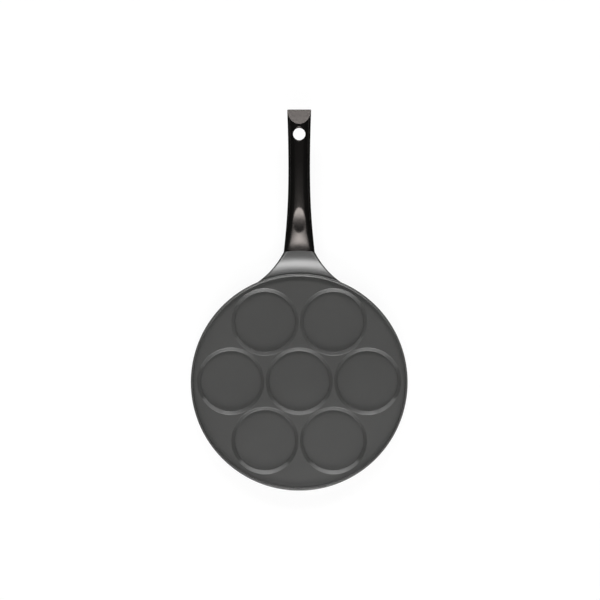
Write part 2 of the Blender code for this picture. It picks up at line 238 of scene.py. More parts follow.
def rounded_bar(name: str, width: float, thickness: float, start: float, end: float, edge: float,
                steps: int = 5) -> Piece:
    """A straight bar along Y with its long edges rounded.

    Args:
        name: The object's name.
        width: Its size along X.
        thickness: Its size along Z.
        start: Where it begins along Y.
        end: Where it ends along Y.
        edge: The radius of the long edges.
        steps: How many chords round an edge.

    Returns:
        The bar, centred on the Y axis.
    """
    clear_selection()
    bpy.ops.mesh.primitive_cube_add(
        size=1, location=(0, (start + end) / 2, 0), scale=(width, end - start, thickness),
    )
    bar = settle(name)
    bpy.ops.object.mode_set(mode="EDIT")
    bpy.ops.mesh.select_all(action="DESELECT")
    bpy.ops.mesh.select_mode(type="EDGE")
    mesh = bmesh.from_edit_mesh(bar.data)
    for line in mesh.edges:
        along = abs(line.verts[0].co.y - line.verts[1].co.y)
        line.select_set(along > (end - start) / 2)
    bmesh.update_edit_mesh(bar.data)
    bpy.ops.mesh.bevel(offset=edge, segments=steps, affect="EDGES")
    bpy.ops.mesh.select_mode(type="VERT")
    bpy.ops.object.mode_set(mode="OBJECT")
    return bar


def put(piece: Piece, place: Sequence[float], slope: float) -> Piece:
    """Tips a form about X, moves it, and puts the result into its mesh.

    Args:
        piece: The form.
        place: Where its origin goes.
        slope: The angle by which its Y axis rises.

    Returns:
        The same form.
    """
    piece.rotation_euler = (slope, 0, 0)
    piece.location = place
    take_up(piece)
    bpy.ops.object.transform_apply(location=True, rotation=True, scale=True)
    return piece


def copy_to(form: Piece, place: Place) -> Piece:
    """Copies a form, with a mesh of its own, to a place.

    Args:
        form: The form.
        place: Where the copy's origin goes.

    Returns:
        The copy, with its place in its mesh.
    """
    take_up(form)
    bpy.ops.object.duplicate(linked=False)
    return put(bpy.context.active_object, place, 0)


def join_form(piece: Piece, other: Piece, cut: Cut) -> None:
    """Adds another form to a piece or takes it away, and throws the other form away.

    Args:
        piece: The piece that is kept.
        other: The form that is added or removed.
        cut: Which of the two.
    """
    take_up(piece)
    change = piece.modifiers.new(other.name, "BOOLEAN")
    change.object = other
    change.operation = cut.value
    change.solver = "EXACT"
    bpy.ops.object.modifier_apply(modifier=change.name)
    bpy.data.objects.remove(other, do_unlink=True)


def smooth(piece: Piece, angle: float = 32.0) -> None:
    """Shades a piece smooth, with crisp edges only where it turns by more than an angle.

    Args:
        piece: The piece.
        angle: The angle in degrees.
    """
    take_up(piece)
    bpy.ops.object.shade_smooth_by_angle(angle=math.radians(angle))
    even = piece.modifiers.new("even shading", "WEIGHTED_NORMAL")
    even.keep_sharp = True
    bpy.ops.object.modifier_apply(modifier=even.name)


def hand_over(piece: Piece, finishes: Iterable[Material],
              stands_for: str | None = None) -> None:
    """Gives a finished piece its finishes and its body, and reports it.

    Args:
        piece: The finished piece.
        finishes: Its materials, in the order of its faces' material numbers.
        stands_for: The CAD node that it replaces.
    """
    piece.data.materials.clear()
    for finish in finishes:
        piece.data.materials.append(finish)
    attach(piece, BODY)
    if stands_for:
        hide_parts(stands_for)
    LOG.info("%s: %d faces", piece.name, len(piece.data.polygons))


@dataclass(frozen=True)
class Section:
    """A cross-section of the bracket or the handle: flat top, rounded shoulders and full belly."""

    along: float
    widest: float
    half_width: float
    corner: float
    crown: float
    belly: float
    bow: float = 1.0

    @property
    def flat(self) -> float:
        """Half the width of the flat part of the top."""
        return self.half_width - self.corner


class Loft:
    """A closed form that is drawn out along Y, ring by ring: each ring is extruded, moved and scaled."""

    def __init__(self, name: str, first: Section, sides: int, flats: int) -> None:
        """Starts the form with its first ring.

        Args:
            name: The object's name.
            first: The first cross-section.
            sides: Points of a ring's round part: 2 more than a multiple of 4, so that two are at its sides.
            flats: How many strips the flat part of the top is divided into.
        """
        clear_selection()
        bpy.ops.mesh.primitive_circle_add(
            vertices=sides, radius=1, fill_type="NGON", location=(0, first.along, first.widest),
            rotation=(math.radians(90), math.radians(90), 0),
        )
        self.form = settle(name)
        self.now = Section(first.along, first.widest, 1, 1, 1, 1)
        edit(self.form)
        self._note_ring()
        self._reshape(first)
        self._divide_flat(flats)

    def _mesh(self) -> bmesh.types.BMesh:
        """The form's mesh in edit mode, with its points ready to be looked up by number.

        Returns:
            The mesh.
        """
        mesh = bmesh.from_edit_mesh(self.form.data)
        mesh.verts.ensure_lookup_table()
        return mesh

    def _note_ring(self) -> None:
        """Remembers which points are in the ring that is being worked on."""
        self.ring = [vert.index for vert in self._mesh().verts if vert.select]

    def _sort_ring(self, level: float) -> tuple[list[int], list[int], list[int], list[int]]:
        """Sorts the ring's points into its parts, by their places in the section that it still has.

        Args:
            level: The height of the ring's widest line.

        Returns:
            The left shoulder, the right shoulder, the flat between them, and the belly.
        """
        mesh = self._mesh()
        left, right, flat, belly = [], [], [], []
        for i in self.ring:
            place = mesh.verts[i].co
            if place.z < level - HAIR:
                belly.append(i)
            elif abs(place.x) < self.now.flat - HAIR:
                flat.append(i)
            elif place.x < 0:
                left.append(i)
            else:
                right.append(i)
        return left, right, flat, belly

    def _pick(self, points: Sequence[int]) -> None:
        """Selects some of the form's points, with what lies between them.

        Args:
            points: The points' numbers.
        """
        mesh = self._mesh()
        deselect_mesh(mesh)
        for i in points:
            mesh.verts[i].select_set(True)
        mesh.select_flush(True)
        bmesh.update_edit_mesh(self.form.data)

    def _reshape(self, target: Section) -> None:
        """Scales the shoulders, the flat and the belly of the current ring to the target's sizes.

        Args:
            target: The cross-section that the ring, already in its place, takes on.
        """
        old, level = self.now, target.widest
        middle = (0, target.along, level)
        lift = target.crown / old.crown
        left, right, flat, belly = self._sort_ring(level)
        for side, shoulder in ((-1, left), (1, right)):
            self._pick(shoulder)
            edge = (side * old.flat, target.along, level)
            bpy.ops.transform.resize(value=(target.corner / old.corner, 1, lift), center_override=edge)
            bpy.ops.transform.translate(value=(side * (target.flat - old.flat), 0, 0))
        if flat:
            self._pick(flat)
            bpy.ops.transform.resize(value=(target.flat / old.flat, 1, lift), center_override=middle)
        self._pick(belly)
        wide = target.half_width / old.half_width
        bpy.ops.transform.resize(value=(wide, 1, target.belly / old.belly), center_override=middle)
        self._pick(self.ring)
        self.now = target

    def _divide_flat(self, flats: int) -> None:
        """Divides the straight line across the top of the first ring.

        Args:
            flats: The number of strips.
        """
        mesh = self._mesh()
        deselect_mesh(mesh)
        for line in mesh.edges:
            first, last = (vert.co for vert in line.verts)
            line.select_set(min(first.z, last.z) > self.now.widest and first.x * last.x < 0)
        bmesh.update_edit_mesh(self.form.data)
        bpy.ops.mesh.subdivide(number_cuts=flats - 1)
        bpy.ops.mesh.select_all(action="SELECT")
        self._note_ring()

    def strip_ends(self) -> None:
        """Divides the flat ends into upright strips, below the points of their tops, for bending."""
        mesh = bmesh.from_edit_mesh(self.form.data)
        cuts = []
        for end in (face for face in mesh.faces if len(face.verts) > 4):
            places = [vert.co for vert in end.verts]
            top = max(p.z for p in places)
            cuts += [(end.calc_center_median().y, p.x) for p in places if p.z > top - HAIR]
        for along, across in sorted(cuts):
            select_faces(
                self.form,
                lambda face: len(face.verts) > 4 and abs(face.calc_center_median().y - along) < SAME_END,
            )
            bpy.ops.mesh.bisect(plane_co=(across, 0, 0), plane_no=(1, 0, 0))
        bpy.ops.mesh.select_all(action="SELECT")

    def bow(self, radius: float) -> None:
        """Bends the first ring round an upright axis at the origin.

        Args:
            radius: The distance from the axis at which widths keep their size.
        """
        self.strip_ends()
        bend_round_axis(self.form, radius)
        edit(self.form)
        self._note_ring()

    def draw_out(self, target: Section) -> None:
        """Extrudes the last ring and gives the new one its place and shape.

        Args:
            target: The next cross-section.
        """
        step = (0, target.along - self.now.along, target.widest - self.now.widest)
        bpy.ops.mesh.extrude_region_move(TRANSFORM_OT_translate={"value": step})
        self._note_ring()
        if target.bow != self.now.bow:
            middle = (0, target.along, target.widest)
            bpy.ops.transform.resize(value=(1, target.bow / self.now.bow, 1), center_override=middle)
        self._reshape(target)

    def finish(self) -> Piece:
        """Leaves edit mode with every face pointing outwards.

        Returns:
            The closed form.
        """
        self.strip_ends()
        turn_outwards()
        return self.form


def bend_round_axis(form: Piece, radius: float) -> None:
    """Bends a straight form, drawn across X, round the upright axis at the origin.

    Args:
        form: The form, whose distance from the axis is its Y.
        radius: The distance from the axis at which widths keep their size.
    """
    take_up(form)
    bpy.context.scene.cursor.location = (0, radius, 0)
    bpy.ops.object.origin_set(type="ORIGIN_CURSOR")
    bpy.context.scene.cursor.location = (0, 0, 0)
    across = [vert.co.x for vert in form.data.vertices]
    bend = form.modifiers.new("round the axis", "SIMPLE_DEFORM")
    bend.deform_method = "BEND"
    bend.deform_axis = "Z"
    bend.angle = -(max(across) - min(across)) / radius
    bpy.ops.object.modifier_apply(modifier=bend.name)
    bpy.ops.object.transform_apply(location=True, rotation=True, scale=True)


# Finishes


class NodeBench:
    """The node tree of one material, with short ways to add and join its nodes."""

    def __init__(self, name: str) -> None:
        """Starts a material with its own shader.

        Args:
            name: The material's name.
        """
        self.material = bpy.data.materials.new(name)
        self.material.use_nodes = True
        self.tree = self.material.node_tree
        self.shader = self.tree.nodes["Principled BSDF"]
        self.place = self.add("ShaderNodeTexCoord").outputs["Object"]

    def add(self, kind: str, values: dict | None = None, **settings: object) -> bpy.types.Node:
        """Adds a node.

        Args:
            kind: The node's type.
            values: Input name or number to its value, or to the socket that feeds it.
            settings: The node's own settings.

        Returns:
            The node.
        """
        node = self.tree.nodes.new(kind)
        for name, value in settings.items():
            setattr(node, name, value)
        for key, value in (values or {}).items():
            if isinstance(value, Socket):
                self.tree.links.new(value, node.inputs[key])
            else:
                node.inputs[key].default_value = value
        return node

    def noise(self, scale: float, detail: float, place: Socket | None = None) -> Socket:
        """A noise pattern, of so many waves per metre and finer layers, in the piece's own space."""
        values = {"Vector": place or self.place, "Scale": scale, "Detail": detail}
        return self.add("ShaderNodeTexNoise", values).outputs["Fac"]

    def span(self, value: Socket, low: float, high: float, start: float = 0.3, end: float = 0.7) -> Socket:
        """Spreads the values from start to end over the range from low to high."""
        values = {"Value": value, "From Min": start, "From Max": end, "To Min": low, "To Max": high}
        return self.add("ShaderNodeMapRange", values).outputs["Result"]

    def work_out(self, operation: str, first: Socket, second: Socket | float, clamp: bool = False) -> Socket:
        """The sum or the product of two values, kept between 0 and 1 if clamp is set."""
        values = {0: first, 1: second}
        return self.add("ShaderNodeMath", values, operation=operation, use_clamp=clamp).outputs[0]

    def blend(self, share: Socket, first: Sequence[float], second: Sequence[float]) -> Socket:
        """Blends two colours.

        Args:
            share: The socket that says how much of the second.
            first: The first colour.
            second: The second colour.

        Returns:
            The socket of the colour.
        """
        mix = self.add("ShaderNodeMix", data_type="RGBA")
        self.tree.links.new(share, mix.inputs["Factor"])
        ends = [socket for socket in mix.inputs if socket.type == "RGBA"]
        for socket, colour in zip(ends, (first, second)):
            socket.default_value = (*colour, 1)
        return next(socket for socket in mix.outputs if socket.type == "RGBA")

    def relief(self, height: Socket, strength: float, depth: float) -> Socket:
        """Raises a fine relief from a pattern, by a depth in metres."""
        values = {"Height": height, "Strength": strength, "Distance": depth}
        return self.add("ShaderNodeBump", values).outputs["Normal"]

    def feed(self, **sockets: Socket) -> None:
        """Joins sockets to the shader's inputs of the same name, with spaces written as _."""
        for name, socket in sockets.items():
            self.tree.links.new(socket, self.shader.inputs[name.replace("_", " ")])

    def fix(self, values: dict) -> None:
        """Sets the shader's values that are the same all over, by input name."""
        for name, value in values.items():
            self.shader.inputs[name].default_value = value


@dataclass(frozen=True)
class NonStickCoating:
    """Dark grey coating with a fine mineral grain."""

    dark: Colour = (0.0685, 0.0685, 0.067)
    light: Colour = (0.080, 0.080, 0.078)
    smoothest: float = 0.16
    roughest: float = 0.19
    index: float = 1.80
    grain: float = 2400.0
    cloud: float = 11.0
    darkest_at: float = 0.7
    lightest_at: float = 1.3
    relief: float = 0.03
    depth: float = 0.00005

    def make(self) -> Material:
        """Makes the material.

        Returns:
            The material.
        """
        bench = NodeBench("nonstick_coating")
        grain = bench.noise(self.grain, 2)
        both = bench.work_out("ADD", grain, bench.noise(self.cloud, 3))
        shade = bench.span(both, 0, 1, self.darkest_at, self.lightest_at)
        bench.feed(
            Base_Color=bench.blend(shade, self.dark, self.light),
            Roughness=bench.span(grain, self.smoothest, self.roughest),
            Normal=bench.relief(grain, self.relief, self.depth),
        )
        bench.fix({"IOR": self.index})
        return bench.material


@dataclass(frozen=True)
class TurnedAluminium:
    """Bare aluminium of the base, faced on a lathe, which leaves fine rings."""

    colour: Colour = (0.62, 0.62, 0.61)
    worn: Colour = (0.50, 0.50, 0.49)
    pitch: float = 0.0009
    cloud: float = 24.0
    smoothest: float = 0.30
    roughest: float = 0.40
    relief: float = 0.45
    depth: float = 0.00006

    def make(self) -> Material:
        """Makes the material.

        Returns:
            The material.
        """
        bench = NodeBench("turned_aluminium")
        rings = bench.add(
            "ShaderNodeTexWave",
            {"Vector": bench.place, "Scale": math.tau / WAVE_RATE / self.pitch, "Distortion": 0.0},
            wave_type="RINGS", rings_direction="Z",
        ).outputs["Fac"]
        cloud = bench.noise(self.cloud, 4)
        bench.feed(
            Base_Color=bench.blend(bench.span(cloud, 0, 1), self.colour, self.worn),
            Roughness=bench.span(cloud, self.smoothest, self.roughest),
            Normal=bench.relief(rings, self.relief, self.depth),
        )
        bench.fix({"Metallic": 1.0})
        return bench.material


@dataclass(frozen=True)
class PhenolicPlastic:
    """Black moulded phenolic, satin, with the faint orange peel of its mould."""

    dark: Colour = (0.0030, 0.0029, 0.0028)
    light: Colour = (0.0042, 0.0040, 0.0038)
    smoothest: float = 0.18
    roughest: float = 0.21
    index: float = 1.80
    sheen: tuple[float, float, float, float] = (1.0, 0.91, 0.865, 1.0)
    peel: float = 700.0
    cloud: float = 40.0
    relief: float = 0.01
    depth: float = 0.0001

    def make(self) -> Material:
        """Makes the material.

        Returns:
            The material.
        """
        bench = NodeBench("black_phenolic")
        peel = bench.noise(self.peel, 2)
        cloud = bench.noise(self.cloud, 3)
        bench.feed(
            Base_Color=bench.blend(bench.span(cloud, 0, 1), self.dark, self.light),
            Roughness=bench.span(peel, self.smoothest, self.roughest),
            Normal=bench.relief(peel, self.relief, self.depth),
        )
        bench.fix({"IOR": self.index, "Specular Tint": self.sheen})
        return bench.material


@dataclass(frozen=True)
class StainlessSteel:
    """Plain bright steel of the fasteners, with fine drawing marks."""

    colour: Colour = (0.56, 0.56, 0.55)
    dull: Colour = (0.44, 0.44, 0.43)
    marks: float = 1500.0
    drawing: Place = (1, 1, 8)
    smoothest: float = 0.22
    roughest: float = 0.36
    relief: float = 0.10
    depth: float = 0.00005

    def make(self) -> Material:
        """Makes the material.

        Returns:
            The material.
        """
        bench = NodeBench("stainless_steel")
        values = {"Vector": bench.place, "Scale": self.drawing}
        drawn = bench.add("ShaderNodeMapping", values, vector_type="POINT").outputs["Vector"]
        marks = bench.noise(self.marks, 3, drawn)
        bench.feed(
            Base_Color=bench.blend(bench.span(marks, 0, 1), self.colour, self.dull),
            Roughness=bench.span(marks, self.smoothest, self.roughest),
            Normal=bench.relief(marks, self.relief, self.depth),
        )
        bench.fix({"Metallic": 1.0})
        return bench.material


# The pan


@dataclass(frozen=True)
class Lip:
    """Rim, side and base of the cast body, as one turned outline."""

    radius: float = 0.1300
    height: float = 0.0180
    plateau: float = 0.0130
    thickness: float = 0.0024
    edge: float = 0.0008
    draft: float = 0.0002
    fillet: float = 0.0003
    band: float = 0.0070
    band_draft: float = 0.0005
    flank: float = 0.0215
    flank_steps: int = 20
    edge_steps: int = 9
    foot_steps: int = 6

    @property
    def foot(self) -> float:
        """Radius at which the plateau starts to rise into the rim."""
        return self.radius - self.thickness - self.draft - self.fillet

    def outline(self) -> Outline:
        """The outline, from the base's edge up the side, over the rim and down to the plateau.

        Returns:
            (radius, height) points.
        """
        band_top = self.height - self.band
        start = self.radius - self.band_draft - self.flank
        outer, inner = self.radius - self.edge, self.radius - self.thickness + self.edge
        level, edge = self.height - self.edge, (self.edge, self.edge)
        flank = arc((start, band_top), (self.flank, band_top), -90, 0, self.flank_steps)
        lip = arc((outer, level), edge, 0, 90, self.edge_steps)
        lip += arc((inner, level), edge, 90, 180, self.edge_steps)
        low = (self.foot, self.plateau + self.fillet)
        return flank + lip + arc(low, (self.fillet, self.fillet), 0, -90, self.foot_steps)


@dataclass(frozen=True)
class Wells:
    """The seven hollows: one in the middle and a ring round it.

    An upright step stands round each floor, and a sloping wall rises from it to the mouth. The cutter goes
    on past the mouth at a slant, so that it leaves the plateau cleanly.
    """

    floor_radius: float = 0.0366
    pitch: float = 0.0824
    shift: float = 0.0009
    depth: float = 0.0057
    step: float = 0.0018
    draft: float = math.radians(44)
    mouth_round: float = 0.0007
    mouth_steps: int = 12
    floor_fillet: float = 0.0003
    fillet_steps: int = 5
    margin: float = 0.0018
    tilt: float = math.radians(7)
    ring: int = 6
    steps: int = 144

    def outline(self, plateau: float) -> Outline:
        """The outline of one hollow, from its floor to just above the plateau.

        Args:
            plateau: The plateau's height.

        Returns:
            (radius, height) points.
        """
        floor = plateau - self.depth
        mouth_radius = self.floor_radius + (self.depth - self.step) * math.tan(self.draft)
        centre, foot, mouth = (0.0, floor), (self.floor_radius, floor), (mouth_radius, plateau)
        ledge = (self.floor_radius, floor + self.step)
        above = (mouth_radius + self.margin, plateau + self.margin * math.tan(self.tilt))
        low = round_off(centre, foot, ledge, self.floor_fillet, self.fillet_steps)
        high = round_off(ledge, mouth, above, self.mouth_round, self.mouth_steps)
        return [*low, ledge, *high, above]

    def centres(self) -> list[Place]:
        """The hollows' places.

        Returns:
            The middle one, then the ring.
        """
        turns = [math.tau * i / self.ring for i in range(self.ring)]
        ring = [(self.pitch * math.cos(a), self.shift + self.pitch * math.sin(a), 0) for a in turns]
        return [(0, self.shift, 0), *ring]


@dataclass(frozen=True)
class Joint:
    """Where the bracket ends and the handle begins: a round face about the pan's axis.

    The sizes named for the grip are the handle's, the corner, crown and belly the bracket's.
    """

    radius: float = 0.1573
    slope: float = math.radians(25)
    width: float = 0.0373
    corner: float = 0.0055
    grip_corner: float = 0.0172
    crown: float = 0.0055
    grip_crown: float = 0.0069
    belly: float = 0.0120
    grip_belly: float = 0.0106
    gap: float = 0.0003


@dataclass(frozen=True)
class Bracket:
    """The bracket that is cast with the body and flares from the handle into the rim."""

    rim: float = Lip.radius
    rim_height: float = Lip.height
    root: float = 0.0180
    drop: float = 0.0048
    slope: float = math.radians(10)
    edge: float = 0.0025
    clearance: float = 0.0022
    underside_ease: float = 2.5
    edge_ease: float = 4.0
    flare: float = 0.0980
    inset: float = 0.0010
    rows: int = 28
    row_ease: float = 1.4
    sides: int = 90
    flats: int = 40
    joint: Joint = field(default_factory=Joint)

    def top(self, radius: float) -> float:
        """Height of the upper surface at a distance from the pan's axis.

        Args:
            radius: The distance from the axis.

        Returns:
            The height.
        """
        bend = (self.joint.radius - self.rim) / (math.sin(self.joint.slope) - math.sin(self.slope))
        slope = math.asin(math.sin(self.slope) + (radius - self.rim) / bend)
        return self.rim_height - self.drop + bend * (math.cos(self.slope) - math.cos(slope))

    def share(self, radius: float) -> float:
        """How far out a radius is, from 0 at the rim to 1 at the joint."""
        return max(0.0, (radius - self.rim) / (self.joint.radius - self.rim))

    def half_angle(self, radius: float) -> float:
        """Half the angle that the bracket spans at a radius.

        Args:
            radius: The distance from the axis.

        Returns:
            The angle.
        """
        inner = self.rim - self.inset
        centre = inner + self.flare

        def swing(distance: float) -> float:
            """Angle at the pan's axis between the flare's centre and its side at a distance."""
            cosine = (distance**2 + centre**2 - self.flare**2) / (2 * distance * centre)
            return math.acos(min(1.0, cosine))

        tangent = math.asin(self.joint.width / 2 / self.joint.radius) + swing(self.joint.radius)
        return tangent - swing(max(radius, inner))

    def section(self, radius: float) -> Section:
        """The cross-section at a radius, drawn straight, for bending round the pan's axis.

        Args:
            radius: The distance from the axis.

        Returns:
            The section.
        """
        share = self.share(radius)
        half_angle = self.half_angle(radius)
        stretch = half_angle * self.joint.radius / (radius * math.sin(half_angle))
        ease = share**self.edge_ease
        crown = self.edge + (self.joint.crown - self.edge) * ease
        corner = self.edge + (self.joint.corner - self.edge) * ease
        widest = self.top(radius) - crown
        joint_bottom = self.top(self.joint.radius) - self.joint.crown - self.joint.belly
        bottom = self.clearance + (joint_bottom - self.clearance) * share**self.underside_ease
        half_width = radius * math.sin(half_angle) * stretch
        return Section(radius, widest, half_width, corner * stretch, crown, widest - bottom)

    def build(self) -> Piece:
        """Draws the bracket out from inside the body to the joint and bends it round the pan's axis.

        Returns:
            The closed form.
        """
        start = self.rim - self.inset
        shares = [(i / self.rows) ** self.row_ease for i in range(self.rows + 1)]
        radii = [self.rim - self.root, *(start + (self.joint.radius - start) * s for s in shares)]
        loft = Loft("bracket", self.section(radii[0]), self.sides, self.flats)
        for radius in radii[1:]:
            loft.draw_out(self.section(radius))
        bracket = loft.finish()
        bend_round_axis(bracket, self.joint.radius)
        return bracket


@dataclass(frozen=True)
class Tang:
    """The tongue of the casting that goes into the handle, and its tapped hole."""

    length: float = 0.0280
    width: float = 0.0210
    thickness: float = 0.0065
    drop: float = 0.0070
    slope: float = math.radians(20)
    root: float = 0.0120
    edge: float = 0.0015
    screw_at: float = 0.0130
    screw_radius: float = 0.0025
    clearance: float = 0.0003
    hole_steps: int = 40
    bracket: Bracket = field(default_factory=Bracket)

    def origin(self) -> Place:
        """Where the tongue starts, at the joint."""
        joint = self.bracket.joint.radius
        return (0, joint, self.bracket.top(joint) - self.drop)

    def placed(self, form: Piece, along: float = 0.0) -> Piece:
        """Puts a form that is drawn about the origin into the tongue's axes, at a distance along it."""
        x, y, z = self.origin()
        return put(form, (x, y + along * math.cos(self.slope), z + along * math.sin(self.slope)), self.slope)

    def build(self) -> Piece:
        """The tongue."""
        tongue = rounded_bar("tang", self.width, self.thickness, -self.root, self.length, self.edge)
        return self.placed(tongue)

    def tapped_hole(self) -> Piece:
        """What the screw's hole takes away.

        Returns:
            The cutter, in its place.
        """
        radius = self.screw_radius + self.clearance
        ends = [(radius, -self.thickness), (radius, self.thickness)]
        return self.placed(turn_on_lathe("tapped_hole", ends, self.hole_steps), self.screw_at)


@dataclass
class PanBody:
    """The casting: disc with wells and rim, bracket and tang, coated, with a bare turned base."""

    lip: Lip = field(default_factory=Lip)
    wells: Wells = field(default_factory=Wells)
    tang: Tang = field(default_factory=Tang)
    steps: int = 240
    base_tilt: float = 0.001
    base_height: float = 0.0001

    def build(self) -> Piece:
        """Models the casting.

        Returns:
            The closed piece.
        """
        body = turn_on_lathe("pan", self.lip.outline(), self.steps)
        join_form(body, self.tang.bracket.build(), Cut.ADD)
        join_form(body, self.tang.build(), Cut.ADD)
        hollow = turn_on_lathe("hollow", self.wells.outline(self.lip.plateau), self.wells.steps)
        for place in self.wells.centres():
            join_form(body, copy_to(hollow, place), Cut.REMOVE)
        bpy.data.objects.remove(hollow, do_unlink=True)
        join_form(body, self.tang.tapped_hole(), Cut.REMOVE)
        return body

    def dress(self, body: Piece, coating: NonStickCoating, base: TurnedAluminium) -> None:
        """Shades the casting and gives its base the bare finish.

        Args:
            body: The modelled casting.
            coating: Finish of everything but the base.
            base: Finish of the flat base.
        """
        smooth(body)
        hand_over(body, (coating.make(), base.make()), "pan_body")
        for face in body.data.polygons:
            flat = face.normal.z < self.base_tilt - 1
            face.material_index = int(flat and face.center.z < self.base_height)


# The handle


@dataclass(frozen=True)
class HandleLine:
    """The laws that the handle's height, width and section follow, out from the joint."""

    length: float = 0.1654
    shoulder_slope: float = math.radians(17)
    tip_slope: float = math.radians(4)
    joint_slope: float = math.radians(27)
    slope_fade: float = 0.0077
    waist_at: float = 0.1000
    waist_width: float = 0.0256
    waist_crown: float = 0.0100
    waist_belly: float = 0.0095
    waist_ease: float = 2.2
    tip_ease: float = 1.8
    crown_fade: float = 0.0600
    corner_fade: float = 0.0350
    shoulder_share: float = 0.98
    tip_width: float = 0.0283
    tip_crown: float = 0.0105
    tip_belly: float = 0.0085
    bow_fade: float = 0.0300
    least_bow: float = 0.0001
    bracket: Bracket = field(default_factory=Bracket)

    @staticmethod
    def fading(out: float, run: float, ease: float = 2.0) -> float:
        """Falls from 1 at the joint to 0 at run, and stays there."""
        return max(0.0, 1 - out / run) ** ease

    def past_waist(self, out: float) -> float:
        """0 up to the waist, then rises to 1 at the tip."""
        return max(0.0, (out - self.waist_at) / (self.length - self.waist_at)) ** self.tip_ease

    def size(self, out: float, joint: float, waist: float, tip: float, fade: float) -> float:
        """A size along the handle, which fade takes from the joint's to the waist's, and then the tip's."""
        return waist + (joint - waist) * fade + (tip - waist) * self.past_waist(out)

    def tangents(self) -> tuple[float, float, float]:
        """Slopes of the top line at the tip, at the shoulder and at the joint."""
        return math.tan(self.tip_slope), math.tan(self.shoulder_slope), math.tan(self.joint_slope)

    def top(self, out: float) -> float:
        """Height of the top line.

        Args:
            out: Distance from the joint.

        Returns:
            The height.
        """
        tip, shoulder, joint = self.tangents()
        steady = tip * out + (shoulder - tip) * (out - out**2 / (2 * self.length))
        early = (joint - shoulder) * self.slope_fade * (1 - math.exp(-out / self.slope_fade))
        return self.bracket.top(self.bracket.joint.radius) + steady + early

    def slope(self, out: float) -> float:
        """Angle of the top line.

        Args:
            out: Distance from the joint.

        Returns:
            The angle.
        """
        tip, shoulder, joint = self.tangents()
        steady = tip + (shoulder - tip) * (1 - out / self.length)
        return math.atan(steady + (joint - shoulder) * math.exp(-out / self.slope_fade))

    def crown(self, out: float) -> float:
        """Height of the top line above the widest line.

        Args:
            out: Distance from the joint.

        Returns:
            The height.
        """
        share = min(1.0, out / self.crown_fade)
        fade = 1 - share**2 * (3 - 2 * share)
        return self.size(out, self.bracket.joint.grip_crown, self.waist_crown, self.tip_crown, fade)

    def belly(self, out: float) -> float:
        """Depth of the underside below the widest line."""
        fade = self.fading(out, self.crown_fade)
        return self.size(out, self.bracket.joint.grip_belly, self.waist_belly, self.tip_belly, fade)

    def section(self, out: float, inset: float = 0.0) -> Section:
        """The cross-section.

        Args:
            out: Distance from the joint.
            inset: How much smaller it is all round, at the tip's rounded edge.

        Returns:
            The section, in its place.
        """
        joint, crown = self.bracket.joint, self.crown(out)
        fade = self.fading(out, self.waist_at, self.waist_ease)
        half_width = self.size(out, joint.width, self.waist_width, self.tip_width, fade) / 2 - inset
        shoulder = half_width * self.shoulder_share
        squarer = (joint.grip_corner - shoulder) * self.fading(out, self.corner_fade)
        corner = shoulder + min(0.0, squarer)
        bow = max(self.least_bow, self.fading(out, self.bow_fade))
        return Section(
            joint.radius + out, self.top(out) - crown, half_width, corner,
            crown - inset, self.belly(out) - inset, bow,
        )

    def below_top(self, out: float, drop: float) -> Place:
        """A point below the top line, square to it.

        Args:
            out: Distance from the joint.
            drop: Depth below the top line.

        Returns:
            The point.
        """
        slope = self.slope(out)
        y = self.bracket.joint.radius + out + drop * math.sin(slope)
        return (0, y, self.top(out) - drop * math.cos(slope))


@dataclass(frozen=True)
class ThumbRest:
    """The shallow scoop across the top of the handle."""

    at: float = 0.0361
    length: float = 0.0276
    depth: float = 0.0010
    blend: float = 0.00030
    reach: float = 0.0090
    margin: float = 0.0030
    cuts: int = 3
    face_up: float = 0.5
    point_up: float = 0.3

    def carve(self, handle: Piece, line: HandleLine) -> None:
        """Sinks the scoop into the handle, with a small round where it meets the top.

        Args:
            handle: The handle's form.
            line: The handle's laws.
        """
        start, middle, end = (
            Vector((line.bracket.joint.radius + out, line.top(out)))
            for out in (self.at - self.length / 2, self.at, self.at + self.length / 2)
        )
        chord = (end - start).length
        dip = self.depth - (middle - (start + end) / 2).length
        radius = (chord**2 / 4 + dip**2) / (2 * dip)
        centre = Vector(line.below_top(self.at, self.depth - radius))
        low, high = start.x - self.margin, end.x + self.margin

        def near(place: Vector) -> bool:
            """Whether a place lies over the scoop."""
            return low < place.y < high and abs(place.x) < self.reach

        edit(handle)
        select_faces(handle, lambda face: face.normal.z > self.face_up and near(face.calc_center_median()))
        bpy.ops.mesh.subdivide(number_cuts=self.cuts)
        mesh = bmesh.from_edit_mesh(handle.data)
        for vert in mesh.verts:
            if not (vert.normal.z > self.point_up and near(vert.co)):
                continue
            scoop = centre.z - math.sqrt(radius**2 - (vert.co.y - centre.y) ** 2)
            share = min(1.0, max(0.0, 0.5 + 0.5 * (scoop - vert.co.z) / self.blend))
            vert.co.z = scoop + (vert.co.z - scoop) * share - self.blend * share * (1 - share)
        bmesh.update_edit_mesh(handle.data)
        bpy.ops.object.mode_set(mode="OBJECT")


@dataclass(frozen=True)
class EndFlat:
    """The slanting flat at the handle's end."""

    length: float = 0.0181

    def cut(self, handle: Piece, line: HandleLine) -> None:
        """Slices the flat.

        Args:
            handle: The handle's form.
            line: The handle's laws.
        """
        out = line.length - self.length
        fall = line.top(out) - (line.top(line.length) - line.crown(line.length))
        tilt = math.atan2(fall, self.length)
        edit(handle)
        bpy.ops.mesh.bisect(
            plane_co=(0, line.bracket.joint.radius + out, line.top(out)),
            plane_no=(0, math.sin(tilt), math.cos(tilt)), use_fill=True, clear_outer=True,
        )
        bpy.ops.object.mode_set(mode="OBJECT")


